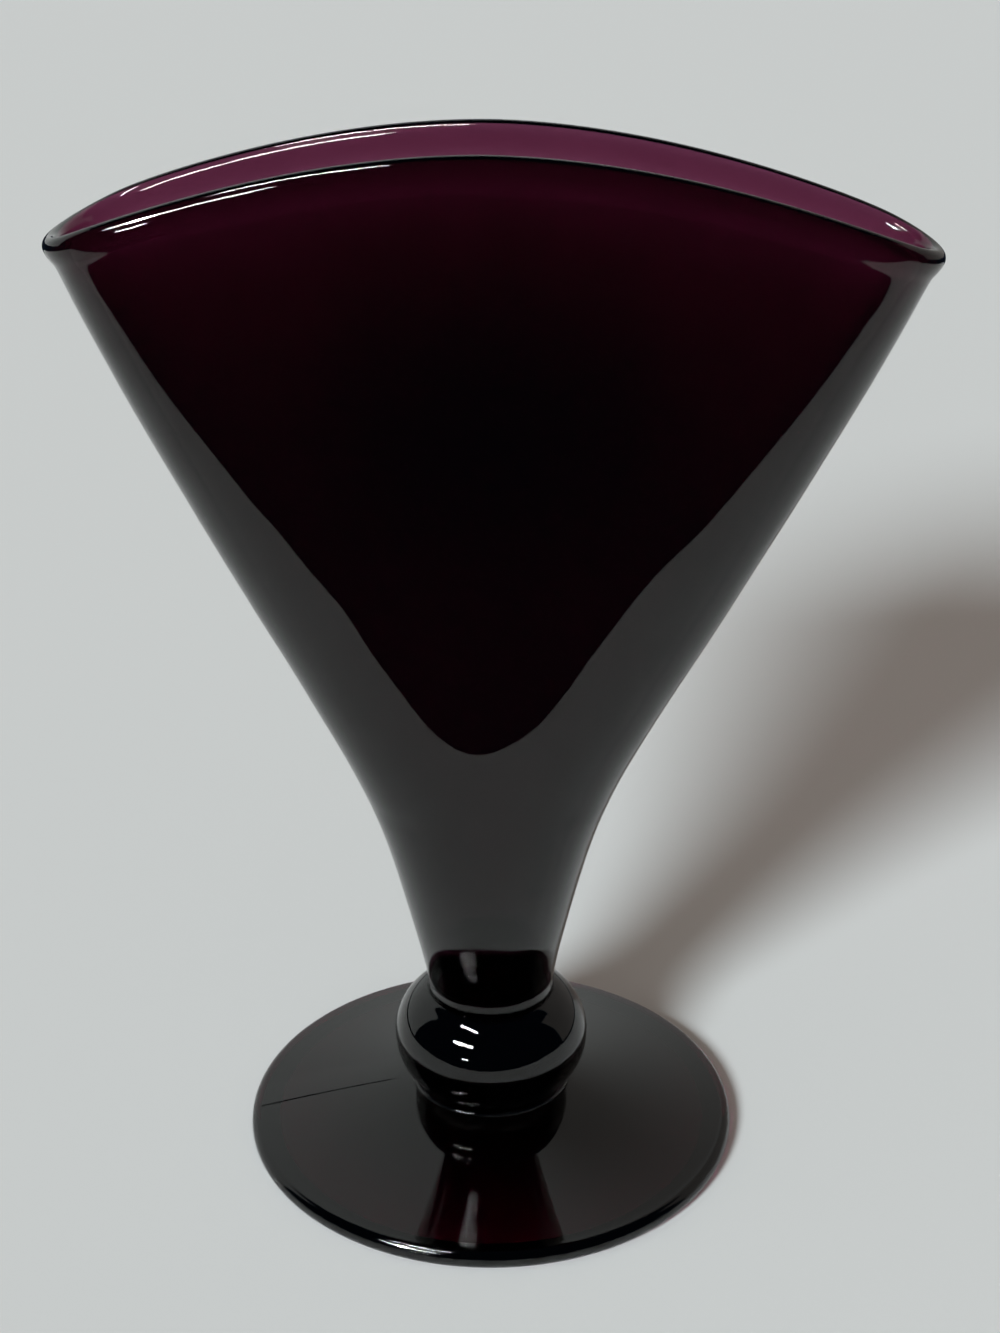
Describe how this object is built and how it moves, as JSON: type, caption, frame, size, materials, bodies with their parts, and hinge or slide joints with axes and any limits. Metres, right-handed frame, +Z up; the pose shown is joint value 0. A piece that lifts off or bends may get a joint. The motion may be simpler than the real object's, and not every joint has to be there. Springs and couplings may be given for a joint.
{
  "type": "fan vase",
  "caption": "Footed fan vase in dark amethyst glass: flattened fan bowl with an arched open mouth on a ball knop, wafer and round foot.",
  "frame": {"origin": "middle of the foot's rest plane, on the axis of the foot and knop", "axes": "+Z up, +X along the wide mouth, +Y through the thin depth of the fan towards its back face"},
  "size_m": [0.1692, 0.106, 0.2167],
  "materials": {
    "amethyst_glass": "fire-polished, glossy, dark amethyst"
  },
  "bodies": {
    "root": {"fan_bowl": "amethyst_glass", "knop": "amethyst_glass", "merese": "amethyst_glass", "foot": "amethyst_glass"}
  },
  "joints": []
}
